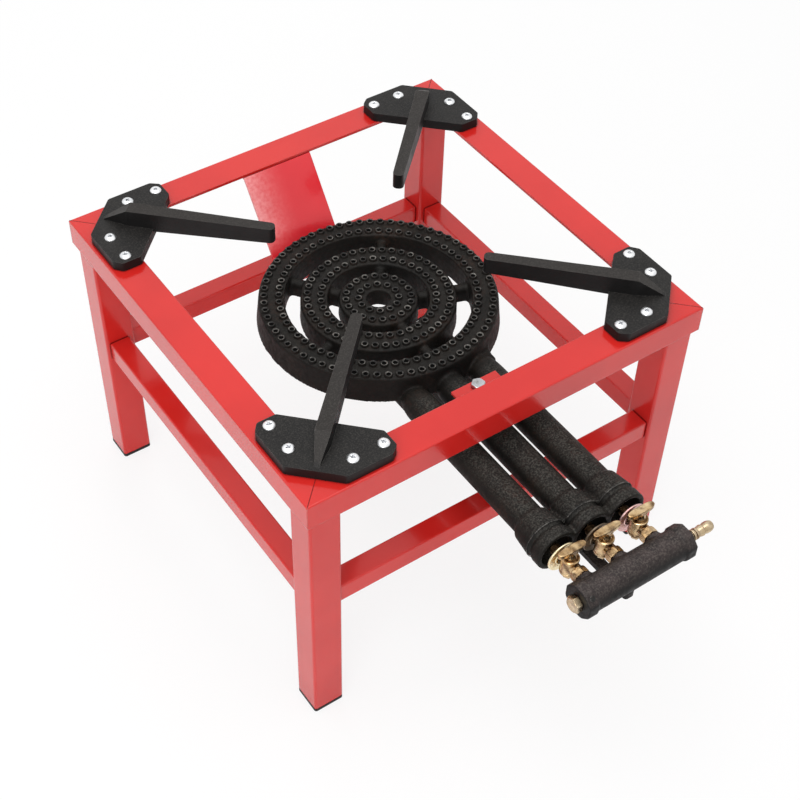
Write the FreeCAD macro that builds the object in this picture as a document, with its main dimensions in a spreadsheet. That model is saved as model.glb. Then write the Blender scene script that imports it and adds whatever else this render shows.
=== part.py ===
import FreeCAD, Part
import math
import os
import re

import Sketcher

# Square gas cooker stand with a three-ring cast burner, three taps and a gas rail.
# Millimetres. The origin is on the floor under the burner's centre, +Z is up and
# the mixing tubes run out to the front, along -Y.

SIZES = {
    # Top frame: steel angle with the flange on top and the skirt outside
    "frame_width": 400,
    "frame_height": 293.5,
    "rail_flange": 30.5,
    "rail_skirt": 26,
    "rail_wall": 3,
    "rail_bend": 1.5,
    # Legs, their caps and the lower rails between them
    "leg_side": 29.5,
    "leg_wall": 2,
    "leg_radius": 2.5,
    "leg_gap": 0.5,
    "cap_thickness": 3,
    "cap_plug": 12,
    "cap_gap": 0.3,
    "low_rail_side": 20,
    "low_rail_wall": 1.5,
    "low_rail_radius": 1.5,
    "low_rail_top": 161.5,
    "low_rail_setback": 3.5,
    # Pan supports: corner plate in distances from the two outer edges, arm on the diagonal
    "plate_margin": 3.5,
    "plate_chamfer": 39,
    "plate_reach": 88.5,
    "plate_width": 27,
    "plate_clip_out": 6,
    "plate_clip_in": 7.5,
    "plate_thickness": 9,
    "plate_radius": 4,
    "plate_recess_edge": 24,
    "plate_recess_depth": 5,
    "plate_inner_wall": 5,
    "arm_foot": 34,
    "arm_full": 58,
    "arm_tip_radius": 92,
    "arm_foot_width": 4,
    "arm_root_width": 13,
    "arm_tip_width": 10,
    "arm_top": 25,
    "arm_under_root": 6,
    "arm_under_tip": 10,
    "screw_edge": 16.3,
    "screw_near": 52,
    "screw_far": 80.5,
    "screw_radius": 2.4,
    "screw_gap": 0.15,
    "screw_head_radius": 5.2,
    "screw_head_height": 2.6,
    "screw_length": 18,
    # Burner rings
    "ring_top": 250,
    "ring_depth": 24,
    "ring_draft": 1,
    "ring_wall": 4,
    "outer_ring_out": 109.5,
    "outer_ring_in": 82,
    "middle_ring_out": 69.4,
    "middle_ring_in": 44.3,
    "inner_ring_out": 33.5,
    "centre_hole": 11.75,
    "port_radius": 2.8,
    "port_height": 1.8,
    "port_taper": 12,
    "port_rim": 6.4,
    "port_pitch": 9,
    "spoke_width": 11,
    "spoke_drop": 9,
    "spoke_angle": 53,
    # Mixing tubes and the gas ducts under the rings
    "tube_axis": 235,
    "tube_start": 95.5,
    "tube_pitch": 35,
    "tube_radius": 14.3,
    "tube_bore": 10.5,
    "tube_bore_end": 112,
    "bell_start": 268,
    "bell_root_radius": 16.8,
    "bell_step": 1.5,
    "bell_radius": 19.3,
    "bell_groove": 289,
    "groove_flank": 1.2,
    "groove_floor": 1.8,
    "groove_depth": 1.6,
    "mouth_front": 303.5,
    "mouth_radius": 15,
    "mouth_depth": 8,
    "duct_axis": 222,
    "duct_radius": 10,
    "duct_bore": 6,
    "duct_start": 132,
    # Front bracket and rear strap that carry the burner
    "bracket_width": 46,
    "bracket_edge": 142,
    "bracket_thickness": 3,
    "bracket_top": 267.5,
    "front_bolt_place": 149,
    "front_bolt_radius": 3.9,
    "front_bolt_across": 13,
    "front_bolt_head": 5.3,
    "lug_radius": 8.5,
    "front_bolt_length": 15,
    "front_thread_depth": 13,
    "strap_width": 72,
    "strap_thickness": 3,
    "strap_flap": 22,
    "strap_bend": 168.5,
    "strap_foot_bend": 121.5,
    "strap_foot_end": 84,
    "rear_bolt_place": 96,
    "rear_bolt_radius": 2.9,
    "rear_bolt_across": 10,
    "rear_bolt_head": 4,
    "rear_bolt_length": 15,
    "rear_thread_depth": 14,
    "bolt_gap": 0.2,
    # Gas rail, its plug, its nozzle and the arm that holds it
    "gas_rail_place": 350,
    "gas_rail_left": 53,
    "gas_rail_right": 56,
    "gas_rail_radius": 14,
    "gas_rail_collar": 15,
    "gas_rail_collar_length": 10,
    "gas_rail_bore": 9,
    "gas_rail_thread": 6,
    "gas_rail_thread_length": 9,
    "gas_rail_boss": 8.5,
    "gas_rail_face": 334,
    "thread_gap": 0.05,
    "plug_across": 13,
    "plug_head": 6,
    "nozzle_neck_radius": 4,
    "nozzle_neck": 7,
    "nozzle_barb_radius": 4.9,
    "nozzle_barb_land": 3,
    "nozzle_root_radius": 4.1,
    "nozzle_reach": 28,
    "nozzle_bore": 2.2,
    "rail_arm_width": 10,
    "rail_arm_thickness": 5,
    "rail_arm_top": 211,
    "rail_arm_pad_margin": 1,
    "rail_arm_pad_height": 7,
    "rail_arm_screw_place": 292,
    "rail_arm_end": 9,
    "rail_arm_screw_radius": 2.4,
    "rail_arm_screw_head": 4.4,
    "rail_arm_screw_head_height": 3,
    "rail_arm_screw_depth": 6,
    # Taps, measured from each key's vertical axis
    "key_place": 318,
    "barrel_radius": 7.5,
    "barrel_half": 9,
    "inlet_across": 13,
    "inlet_thread": 4.5,
    "inlet_thread_length": 6,
    "outlet_radius": 5,
    "outlet_length": 19,
    "gas_way": 2,
    "key_plug_radius": 4.5,
    "running_gap": 0.05,
    "key_stem_radius": 2.4,
    "key_stem": 6,
    "wing_rise": 1,
    "wing_collar": 2.5,
    "wing_fan": 7.2,
    "wing_fan_height": 14.6,
    "wing_width": 26,
    "wing_thickness": 5.5,
    "wing_top": 20,
    "wing_end_height": 4.5,
    "wing_neck_width": 10,
    "wing_dip": 0.8,
    "wing_radius": 1.8,
    "key_washer_radius": 6,
    "key_washer_thickness": 1,
    "key_nut_across": 8,
    "key_nut_height": 4,
    "injector_across": 7,
    "injector_head": 3,
    "injector_nose": 4,
    "injector_tip_radius": 1.6,
    "injector_thread": 2.5,
    "injector_thread_length": 5,
    "shutter_radius": 14.2,
    "shutter_thickness": 2,
    "shutter_gap": 0.1,
}

doc = FreeCAD.newDocument("burner_stand")
sheet = doc.addObject("Spreadsheet::Sheet", "size")
for row, (alias, amount) in enumerate(SIZES.items(), start=1):
    sheet.set(f"A{row}", alias)
    sheet.set(f"B{row}", str(amount))
    sheet.setAlias(f"B{row}", alias)
doc.recompute()

sub_parts = []


def bound(words):
    """The expression in which every size's name points to its cell."""
    return re.sub(r"[a-z_]+", lambda m: "size." + m.group() if m.group() in SIZES else m.group(), str(words))


def number(words):
    """The value that an expression has now."""
    return float(sheet.evalExpression(bound(words)))


def new_body(label, x="0", y="0", z="0", turn=0):
    """An empty body at a bound place, turned about the vertical."""
    body = doc.addObject("PartDesign::Body", label)
    body.Label = label
    body.Placement = FreeCAD.Placement(FreeCAD.Vector(), FreeCAD.Rotation(FreeCAD.Vector(0, 0, 1), turn))
    body.setExpression(".Placement.Base.x", bound(x))
    body.setExpression(".Placement.Base.y", bound(y))
    body.setExpression(".Placement.Base.z", bound(z))
    sub_parts.append(body)
    return body


def origin_feature(body, role):
    return [f for f in body.Origin.OriginFeatures if f.Role == role][0]


def new_sketch(body, name, plane, across="0", up="0", out="0", axis=(0, 0, 1), turn=0):
    """A sketch on one of the body's own planes, moved in that plane's directions."""
    item = body.newObject("Sketcher::SketchObject", body.Label + "_" + name)
    item.AttachmentSupport = [(origin_feature(body, plane), "")]
    item.MapMode = "FlatFace"
    rotation = FreeCAD.Rotation(FreeCAD.Vector(*axis), turn)
    item.AttachmentOffset = FreeCAD.Placement(FreeCAD.Vector(), rotation)
    item.setExpression(".AttachmentOffset.Base.x", bound(across))
    item.setExpression(".AttachmentOffset.Base.y", bound(up))
    item.setExpression(".AttachmentOffset.Base.z", bound(out))
    return item


def fix_point(item, piece, point, x, y):
    """Holds a point of a sketch at bound distances from the sketch's origin."""
    for kind, words in (("DistanceX", x), ("DistanceY", y)):
        place = item.addConstraint(Sketcher.Constraint(kind, -1, 1, piece, point, number(words)))
        item.renameConstraint(place, f"{kind}{piece}")
        item.setExpression(f"Constraints.{kind}{piece}", bound(words))


def polygon(item, corners):
    """A closed outline through bound corners."""
    first = item.GeometryCount
    points = [FreeCAD.Vector(number(x), number(y), 0) for x, y in corners]
    for start, end in zip(points, points[1:] + points[:1]):
        item.addGeometry(Part.LineSegment(start, end), False)
    for place in range(len(corners)):
        following = first + (place + 1) % len(corners)
        item.addConstraint(Sketcher.Constraint("Coincident", first + place, 2, following, 1))
    for place, (x, y) in enumerate(corners):
        fix_point(item, first + place, 1, x, y)


def rectangle(item, left, right, low, high):
    polygon(item, [(left, low), (right, low), (right, high), (left, high)])


def centred_square(item, side, x="0", y="0"):
    rectangle(item, f"{x} - ({side}) / 2", f"{x} + ({side}) / 2", f"{y} - ({side}) / 2", f"{y} + ({side}) / 2")


def hexagon(item, across, x="0", y="0"):
    """A hexagon with two flats parallel to the sketch's horizontal axis."""
    corner = f"({across}) / sqrt(3)"
    half = f"({across}) / 2"
    polygon(
        item,
        [
            (f"{x} + {corner}", y),
            (f"{x} + {corner} / 2", f"{y} + {half}"),
            (f"{x} - {corner} / 2", f"{y} + {half}"),
            (f"{x} - {corner}", y),
            (f"{x} - {corner} / 2", f"{y} - {half}"),
            (f"{x} + {corner} / 2", f"{y} - {half}"),
        ],
    )


def circle(item, radius, x="0", y="0"):
    centre = FreeCAD.Vector(number(x), number(y), 0)
    piece = item.addGeometry(Part.Circle(centre, FreeCAD.Vector(0, 0, 1), number(radius)), False)
    fix_point(item, piece, 3, x, y)
    place = item.addConstraint(Sketcher.Constraint("Radius", piece, number(radius)))
    item.renameConstraint(place, f"Radius{piece}")
    item.setExpression(f"Constraints.Radius{piece}", bound(radius))


def extrude(body, item, length=None, kind="Pad", both=False, back=False, taper=None):
    """A pad or pocket of a sketch; without a length it cuts through everything, both ways."""
    feature = body.newObject("PartDesign::" + kind, item.Name + "_" + kind.lower())
    feature.Profile = item
    feature.Refine = False
    feature.SideType = "Symmetric" if both or length is None else "One side"
    if length is None:
        feature.Type = "ThroughAll"
    else:
        feature.setExpression("Length", bound(length))
    feature.Reversed = back
    if taper:
        feature.setExpression("TaperAngle", bound(f"-({taper})"))
    item.Visibility = False
    return feature


def revolve(body, item, axis, kind="Revolution"):
    """A full turn of a sketch about one of its own axes."""
    feature = body.newObject("PartDesign::" + kind, item.Name + "_" + kind.lower())
    feature.Profile = item
    feature.ReferenceAxis = (item, [axis])
    feature.Angle = 360
    feature.Refine = False
    return feature


def row_pattern(body, original, length, count):
    """Copies of one feature in a row along X."""
    feature = body.newObject("PartDesign::LinearPattern", original.Name + "_row")
    feature.Originals = [original]
    feature.Direction = (origin_feature(body, "X_Axis"), [""])
    feature.setExpression("Length", bound(length))
    feature.Occurrences = count
    feature.Refine = False
    body.Tip = feature


def round_pattern(body, original, count):
    """Copies of one feature round the vertical axis."""
    feature = body.newObject("PartDesign::PolarPattern", original.Name + "_round")
    feature.Originals = [original]
    feature.Axis = (origin_feature(body, "Z_Axis"), [""])
    feature.Angle = 360
    feature.Occurrences = count
    feature.Refine = False
    body.Tip = feature


def fillet(body, radius, chosen, name="fillet"):
    """Rounds the straight edges of the body's last feature that a test picks."""
    doc.recompute()
    base = body.Tip
    edges = [f"Edge{n}" for n, e in enumerate(base.Shape.Edges, start=1) if straight(e) and chosen(e)]
    feature = body.newObject("PartDesign::Fillet", body.Label + "_" + name)
    feature.Base = (base, edges)
    feature.setExpression("Radius", bound(radius))


def straight(edge):
    return edge.Curve.TypeId == "Part::GeomLine"


def along(edge, axis):
    """Whether a straight edge runs along an axis, 0, 1 or 2."""
    direction = edge.tangentAt(edge.FirstParameter)
    return abs(direction[axis]) > 0.999


def middle(edge):
    return edge.CenterOfMass


# Top rails. Each is the front one, turned about the stand's centre.
def top_rail(label, turn):
    body = new_body(label, turn=turn)
    outer, inner = "-frame_width / 2", "-frame_width / 2 + rail_flange"
    low, high = "frame_height - rail_skirt", "frame_height"
    profile = new_sketch(body, "profile", "YZ_Plane")
    polygon(
        profile,
        [
            (outer, low),
            (f"{outer} + rail_wall", low),
            (f"{outer} + rail_wall", f"{high} - rail_wall"),
            (inner, f"{high} - rail_wall"),
            (inner, high),
            (outer, high),
        ],
    )
    extrude(body, profile, "frame_width", both=True)
    edge_y, edge_z = number(outer), number(high)
    fillet(body, "rail_bend", lambda e: along(e, 0) and abs(middle(e).y - edge_y) + abs(middle(e).z - edge_z) < 0.01)
    cuts = new_sketch(body, "cuts", "XY_Plane")
    for side in ("", "-"):
        tip = f"{side}(frame_width / 2)"
        far = f"{side}(frame_width / 2 - 2 * rail_flange)"
        polygon(cuts, [(tip, outer), (far, f"{outer} + 2 * rail_flange"), (tip, f"{outer} + 2 * rail_flange")])
        for place in ("screw_near", "screw_far"):
            x = f"{side}(frame_width / 2 - {place})"
            circle(cuts, "screw_radius + screw_gap", x, f"{outer} + screw_edge")
    extrude(body, cuts, kind="Pocket")
    return body


LEG_PLACE = "(frame_width / 2 - rail_wall - leg_gap - leg_side / 2)"
CORNERS = {"front_left": (-1, -1), "front_right": (1, -1), "rear_right": (1, 1), "rear_left": (-1, 1)}


def leg(corner):
    side_x, side_y = CORNERS[corner]
    place = (f"{side_x} * {LEG_PLACE}", f"{side_y} * {LEG_PLACE}")
    body = new_body("leg_" + corner, *place, "cap_thickness")
    profile = new_sketch(body, "profile", "XY_Plane")
    centred_square(profile, "leg_side")
    centred_square(profile, "leg_side - 2 * leg_wall")
    extrude(body, profile, "frame_height - rail_wall - cap_thickness")
    outside = number("leg_side / 2 - 0.01")
    fillet(body, "leg_radius", lambda e: along(e, 2) and abs(middle(e).x) > outside and abs(middle(e).y) > outside)
    return body


def foot_cap(corner):
    side_x, side_y = CORNERS[corner]
    body = new_body("foot_cap_" + corner, f"{side_x} * {LEG_PLACE}", f"{side_y} * {LEG_PLACE}")
    sole = new_sketch(body, "sole", "XY_Plane")
    centred_square(sole, "leg_side")
    extrude(body, sole, "cap_thickness")
    fillet(body, "leg_radius", lambda e: along(e, 2))
    plug = new_sketch(body, "plug", "XY_Plane", out="cap_thickness")
    centred_square(plug, "leg_side - 2 * leg_wall - 2 * cap_gap")
    extrude(body, plug, "cap_plug")
    return body


def lower_rail(label, turn):
    body = new_body(label, turn=turn)
    profile = new_sketch(body, "profile", "YZ_Plane")
    y = "(-frame_width / 2 + rail_wall + leg_gap + low_rail_setback + low_rail_side / 2)"
    z = "(low_rail_top - low_rail_side / 2)"
    centred_square(profile, "low_rail_side", y, z)
    centred_square(profile, "low_rail_side - 2 * low_rail_wall", y, z)
    extrude(body, profile, "frame_width - 2 * (rail_wall + leg_gap + leg_side)", both=True)
    centre = FreeCAD.Vector(0, number(y), number(z))
    outside = number("low_rail_side / 2 - 0.01")

    def outer_edge(edge):
        away = middle(edge) - centre
        return along(edge, 0) and abs(away.y) > outside and abs(away.z) > outside

    fillet(body, "low_rail_radius", outer_edge)
    return body


# Pan supports, drawn in distances from the frame's two outer edges
def pan_support(corner, turn):
    side_x, side_y = CORNERS[corner]
    body = new_body(
        "pan_support_" + corner,
        f"{side_x} * frame_width / 2",
        f"{side_y} * frame_width / 2",
        "frame_height",
        turn,
    )
    half_outline = [
        ("plate_margin", "plate_chamfer"),
        ("plate_margin", "plate_reach - plate_clip_in"),
        ("plate_margin + plate_clip_out", "plate_reach"),
        ("plate_width", "plate_reach"),
    ]
    plate = new_sketch(body, "plate", "XY_Plane")
    polygon(plate, half_outline + [(y, x) for x, y in reversed(half_outline)])
    extrude(body, plate, "plate_thickness")
    fillet(body, "plate_radius", lambda e: along(e, 2), "corners")

    tip = "(frame_width / sqrt(2) - arm_tip_radius)"
    stations = [("arm_foot", "arm_foot_width"), ("arm_full", "arm_root_width"), (tip, "arm_tip_width")]
    right_side = [(x, f"-{width} / 2") for x, width in stations]
    left_side = [(x, f"{width} / 2") for x, width in reversed(stations)]
    arm = new_sketch(body, "arm", "XY_Plane", out="arm_under_root", turn=45)
    polygon(arm, right_side + left_side)
    extrude(body, arm, "arm_top - arm_under_root")

    # The root rises on a ramp, and the underside thins towards the tip.
    inner_edge = "(plate_reach + plate_width) / sqrt(2)"
    side = new_sketch(body, "side", "XZ_Plane", axis=(0, 1, 0), turn=45)
    polygon(
        side,
        [
            ("arm_foot - 1", "plate_thickness"),
            ("arm_foot", "plate_thickness"),
            ("arm_full", "arm_top"),
            ("arm_full", "arm_top + 1"),
            ("arm_foot - 1", "arm_top + 1"),
        ],
    )
    polygon(
        side,
        [
            (inner_edge, "arm_under_root - 1"),
            (f"{tip} + 1", "arm_under_root - 1"),
            (f"{tip} + 1", "arm_under_tip"),
            (inner_edge, "arm_under_root"),
        ],
    )
    extrude(body, side, kind="Pocket")
    reach = number(tip) - 0.01
    at_tip = lambda e: along(e, 2) and (middle(e).x + middle(e).y) / math.sqrt(2) > reach
    fillet(body, "arm_tip_width * 0.45", at_tip, "tip")

    holes = new_sketch(body, "holes", "XY_Plane")
    for place in ("screw_near", "screw_far"):
        circle(holes, "screw_radius + screw_gap", "screw_edge", place)
        circle(holes, "screw_radius + screw_gap", place, "screw_edge")
    extrude(body, holes, kind="Pocket")

    far = "(plate_reach + plate_width - plate_inner_wall * sqrt(2) - plate_recess_edge)"
    recess = new_sketch(body, "recess", "XY_Plane")
    near = "plate_recess_edge"
    polygon(recess, [(near, near), (far, near), (near, far)])
    extrude(body, recess, "plate_recess_depth", kind="Pocket", back=True)
    return body


def turned_solid(profile_points, place, direction=FreeCAD.Vector(0, 0, 1)):
    """A solid of revolution about Z from (radius, height) points, set at a place."""
    points = [FreeCAD.Vector(radius, 0, height) for radius, height in profile_points]
    wire = Part.makePolygon(points + points[:1])
    solid = Part.Face(wire).revolve(FreeCAD.Vector(), FreeCAD.Vector(0, 0, 1), 360)
    solid.Placement = FreeCAD.Placement(place, FreeCAD.Rotation(FreeCAD.Vector(0, 0, 1), direction))
    return solid


def new_group(label, solids):
    """Several equal fasteners in one sub-part, as separate solids."""
    feature = doc.addObject("Part::Feature", label)
    feature.Label = label
    feature.Shape = Part.makeCompound(solids)
    sub_parts.append(feature)
    return feature


def pan_head_profile(radius, head_radius, head_height, length):
    """Half section of a pan head screw whose head sits on height 0."""
    return [
        (0, -length),
        (radius, -length + radius),
        (radius, 0),
        (head_radius, 0),
        (head_radius, head_height * 0.45),
        (head_radius * 0.62, head_height),
        (0, head_height),
    ]


def pan_support_screws():
    head = number("screw_head_radius"), number("screw_head_height")
    profile = pan_head_profile(number("screw_radius"), *head, number("screw_length"))
    half = number("frame_width / 2")
    top = number("frame_height + plate_thickness")
    edge = half - number("screw_edge")
    solids = []
    for side_x, side_y in CORNERS.values():
        for place in (half - number("screw_near"), half - number("screw_far")):
            solids.append(turned_solid(profile, FreeCAD.Vector(side_x * edge, side_y * place, top)))
            solids.append(turned_solid(profile, FreeCAD.Vector(side_x * place, side_y * edge, top)))
    return new_group("pan_support_screws", solids)


# Front bracket: a plate butted on the skirt's inner face, flush with its lower edge
def front_bracket():
    body = new_body("front_bracket", z="bracket_top - bracket_thickness")
    plate = new_sketch(body, "plate", "XY_Plane")
    rectangle(plate, "-bracket_width / 2", "bracket_width / 2", "-frame_width / 2 + rail_wall", "-bracket_edge")
    circle(plate, "front_bolt_radius + bolt_gap", "0", "-front_bolt_place")
    extrude(body, plate, "bracket_thickness")
    return body


# Rear strap: a flap under the rear flange, a slope and a foot under the outer ring
def rear_strap():
    body = new_body("rear_strap")
    top, foot = "(frame_height - rail_wall)", "(ring_top - ring_depth)"
    slope = f"atan(({top} - {foot}) / (strap_bend - strap_foot_bend))"
    lean = f"(strap_thickness * tan({slope} / 2))"
    profile = new_sketch(body, "profile", "YZ_Plane")
    polygon(
        profile,
        [
            ("strap_bend", top),
            ("strap_foot_bend", foot),
            ("strap_foot_end", foot),
            ("strap_foot_end", f"{foot} - strap_thickness"),
            (f"strap_foot_bend + {lean}", f"{foot} - strap_thickness"),
            (f"strap_bend + {lean}", f"{top} - strap_thickness"),
            ("strap_bend + strap_flap", f"{top} - strap_thickness"),
            ("strap_bend + strap_flap", top),
        ],
    )
    extrude(body, profile, "strap_width", both=True)
    holes = new_sketch(body, "hole", "XY_Plane")
    circle(holes, "rear_bolt_radius + bolt_gap", "0", "rear_bolt_place")
    extrude(body, holes, "ring_top", kind="Pocket", back=True)
    return body


# Burner casting
RINGS = (
    ("outer_ring_in", "outer_ring_out"),
    ("middle_ring_in", "middle_ring_out"),
    ("centre_hole", "inner_ring_out"),
)


def round_way(body, name, x, z, radius, start, length, kind="Pocket"):
    """A round hole or bar from y = -start towards the rear."""
    item = new_sketch(body, name, "XZ_Plane", out=start)
    circle(item, radius, x, z)
    extrude(body, item, length, kind=kind, back=kind == "Pad")


def port_rows():
    """Radius and count of each row of ports, two rows on every ring."""
    for inner, outer in RINGS:
        for radius in (f"{inner} + port_rim - 1", f"{outer} - port_rim"):
            yield radius, round(2 * math.pi * number(radius) / number("port_pitch"))


def burner_casting():
    body = new_body("burner_casting")
    bottom = "(ring_top - ring_depth)"

    # Two crossing spokes join the rings.
    for name, turn in (("spoke", 0), ("cross_spoke", 90)):
        bar = new_sketch(body, name, "XY_Plane", out=bottom, turn=number("spoke_angle") + turn)
        span = "(outer_ring_out + outer_ring_in) / 2"
        rectangle(bar, f"-{span}", span, "-spoke_width / 2", "spoke_width / 2")
        extrude(body, bar, "ring_depth - spoke_drop")

    rings = new_sketch(body, "rings", "XZ_Plane")
    for inner, outer in RINGS[:2]:
        polygon(
            rings,
            [(inner, bottom), (f"{outer} + ring_draft", bottom), (outer, "ring_top"), (inner, "ring_top")],
        )
    hub = [("0", bottom), ("inner_ring_out + ring_draft", bottom), ("inner_ring_out", "ring_top"), ("0", "ring_top")]
    polygon(rings, hub)
    revolve(body, rings, "V_Axis")

    # Mixing tubes with flared, grooved mouths
    tube = new_sketch(body, "tube", "YZ_Plane", up="tube_axis", out="-tube_pitch")
    polygon(
        tube,
        [
            ("-tube_start", "0"),
            ("-tube_start", "tube_radius"),
            ("-bell_start", "tube_radius"),
            ("-bell_start - bell_step", "bell_root_radius"),
            ("-bell_groove", "bell_radius"),
            ("-bell_groove - groove_flank", "bell_radius - groove_depth"),
            ("-bell_groove - groove_flank - groove_floor", "bell_radius - groove_depth"),
            ("-bell_groove - 2 * groove_flank - groove_floor", "bell_radius"),
            ("-mouth_front", "bell_radius"),
            ("-mouth_front", "0"),
        ],
    )
    tubes = revolve(body, tube, "H_Axis")
    row_pattern(body, tubes, "2 * tube_pitch", 3)

    # Ducts under the rings feed the inner and middle ring.
    duct = ("duct_axis", "duct_radius", "duct_start")
    round_way(body, "inner_duct", "0", *duct, "duct_start - centre_hole - ring_wall", kind="Pad")
    middle_row = "sqrt(((middle_ring_in + middle_ring_out) / 2)^2 - tube_pitch^2)"
    round_way(body, "middle_duct", "tube_pitch", *duct, f"duct_start - {middle_row} + duct_bore + 1", kind="Pad")

    # Lug for the front bolt, pad for the rail arm
    lug = new_sketch(body, "lug", "XY_Plane", out="tube_axis")
    circle(lug, "lug_radius", "0", "-front_bolt_place")
    extrude(body, lug, "bracket_top - bracket_thickness - tube_axis")
    pad = new_sketch(body, "pad", "XY_Plane", out="rail_arm_top")
    pad_side = "(rail_arm_width / 2 + rail_arm_pad_margin)"
    pad_end = "(rail_arm_end + rail_arm_pad_margin)"
    front, rear = f"-rail_arm_screw_place - {pad_end}", f"-rail_arm_screw_place + {pad_end}"
    rectangle(pad, f"-{pad_side}", pad_side, front, rear)
    extrude(body, pad, "rail_arm_pad_height")

    # Gas channels in the rings, with a post where the rear bolt goes in
    channels = new_sketch(body, "channels", "XZ_Plane")
    for inner, outer in RINGS:
        rectangle(
            channels,
            f"{inner} + ring_wall",
            f"{outer} - ring_wall",
            f"{bottom} + ring_wall",
            "ring_top - ring_wall",
        )
    revolve(body, channels, "V_Axis", "Groove")
    post = new_sketch(body, "post", "XY_Plane", out=bottom)
    circle(post, "rear_bolt_radius + ring_wall", "0", "rear_bolt_place")
    extrude(body, post, "ring_depth - ring_wall / 2")

    # Bores of the mixing tubes and ducts, and the rises into the channels
    bore = new_sketch(body, "bore", "YZ_Plane", up="tube_axis", out="-tube_pitch")
    polygon(
        bore,
        [
            ("-tube_bore_end", "0"),
            ("-tube_bore_end", "tube_bore"),
            ("-bell_start - 6", "tube_bore"),
            ("-mouth_front + mouth_depth", "mouth_radius"),
            ("-mouth_front - 1", "mouth_radius"),
            ("-mouth_front - 1", "0"),
        ],
    )
    row_pattern(body, revolve(body, bore, "H_Axis", "Groove"), "2 * tube_pitch", 3)
    left_reach = "tube_bore_end - sqrt(((outer_ring_in + outer_ring_out) / 2)^2 - tube_pitch^2)"
    round_way(body, "left_way", "-tube_pitch", "tube_axis + 2", "duct_bore", "tube_bore_end", left_reach)
    feeds = (("inner", "0", "(centre_hole + inner_ring_out) / 2"), ("middle", "tube_pitch", middle_row))
    for name, x, y in feeds:
        start = "duct_start - ring_wall"
        round_way(body, name + "_way", x, "duct_axis", "duct_bore", start, f"{start} - {y}")
        rise = new_sketch(body, name + "_rise", "XY_Plane", out="duct_axis")
        circle(rise, "duct_bore - 1", x, f"-{y}")
        extrude(body, rise, f"{bottom} + 2 * ring_wall - duct_axis", kind="Pocket", back=True)

    # Centre hole, threaded holes
    centre = new_sketch(body, "centre", "XY_Plane")
    circle(centre, "centre_hole")
    extrude(body, centre, kind="Pocket")
    front = new_sketch(body, "front_thread", "XY_Plane", out="bracket_top - bracket_thickness")
    circle(front, "front_bolt_radius + thread_gap", "0", "-front_bolt_place")
    extrude(body, front, "front_thread_depth", kind="Pocket")
    rear = new_sketch(body, "rear_thread", "XY_Plane", out=bottom)
    circle(rear, "rear_bolt_radius + thread_gap", "0", "rear_bolt_place")
    extrude(body, rear, "rear_thread_depth", kind="Pocket", back=True)
    arm = new_sketch(body, "arm_thread", "XY_Plane", out="rail_arm_top")
    circle(arm, "rail_arm_screw_radius + thread_gap", "0", "-rail_arm_screw_place")
    extrude(body, arm, "rail_arm_screw_depth + 0.5", kind="Pocket", back=True)

    # Raised ports in staggered rows
    for place, (radius, count) in enumerate(port_rows()):
        turn = 180 / count if place % 2 else 0
        port = new_sketch(body, f"port{place}", "XY_Plane", out="ring_top", turn=turn)
        hexagon(port, "port_radius * sqrt(3)", radius)
        round_pattern(body, extrude(body, port, "port_height", taper="port_taper"), count)
    return body


# Hexagon bolt with its head's seat at z = 0 and its shank below
def hexagon_bolt(label, place, upside_down=False):
    body = new_body(label, *place)
    if upside_down:
        body.Placement = FreeCAD.Placement(FreeCAD.Vector(), FreeCAD.Rotation(FreeCAD.Vector(1, 0, 0), 180))
    cap = new_sketch(body, "head", "XY_Plane")
    hexagon(cap, label + "_across")
    extrude(body, cap, label + "_head")
    shank = new_sketch(body, "shank", "XY_Plane")
    circle(shank, label + "_radius")
    extrude(body, shank, label + "_length", back=True)
    return body


# Gas rail along X, drawn about its own axis
def gas_rail():
    body = new_body("gas_rail", "0", "-gas_rail_place", "tube_axis")
    tube = new_sketch(body, "tube", "XZ_Plane")
    left, right = "(-gas_rail_left)", "gas_rail_right"
    collar, deep = "gas_rail_collar_length", "gas_rail_thread_length"
    polygon(
        tube,
        [
            (left, "gas_rail_thread"),
            (left, "gas_rail_collar"),
            (f"{left} + {collar}", "gas_rail_collar"),
            (f"{left} + {collar} + 1", "gas_rail_radius"),
            (f"{right} - {collar} - 1", "gas_rail_radius"),
            (f"{right} - {collar}", "gas_rail_collar"),
            (right, "gas_rail_collar"),
            (right, "gas_rail_thread"),
            (f"{right} - {deep}", "gas_rail_thread"),
            (f"{right} - {deep}", "gas_rail_bore"),
            (f"{left} + {deep}", "gas_rail_bore"),
            (f"{left} + {deep}", "gas_rail_thread"),
        ],
    )
    revolve(body, tube, "H_Axis")
    bosses = new_sketch(body, "bosses", "XZ_Plane", out="-(gas_rail_bore + 1)")
    for x in ("-tube_pitch", "0", "tube_pitch"):
        circle(bosses, "gas_rail_boss", x)
    extrude(body, bosses, "gas_rail_place - gas_rail_face - gas_rail_bore - 1", back=True)
    lug = new_sketch(body, "lug", "XY_Plane", out="rail_arm_top - tube_axis")
    circle(lug, "rail_arm_width / 2 + 1.5")
    extrude(body, lug, "tube_axis - rail_arm_top - gas_rail_bore - 1")
    ways = new_sketch(body, "tap_threads", "XZ_Plane", out="-(gas_rail_place - gas_rail_face)")
    for x in ("-tube_pitch", "0", "tube_pitch"):
        circle(ways, "inlet_thread + thread_gap", x)
    extrude(body, ways, "gas_rail_place - gas_rail_face", kind="Pocket", back=True)
    hole = new_sketch(body, "arm_thread", "XY_Plane", out="rail_arm_top - tube_axis")
    circle(hole, "rail_arm_screw_radius + thread_gap")
    extrude(body, hole, "rail_arm_screw_depth + 0.5", kind="Pocket", back=True)
    return body


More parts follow.
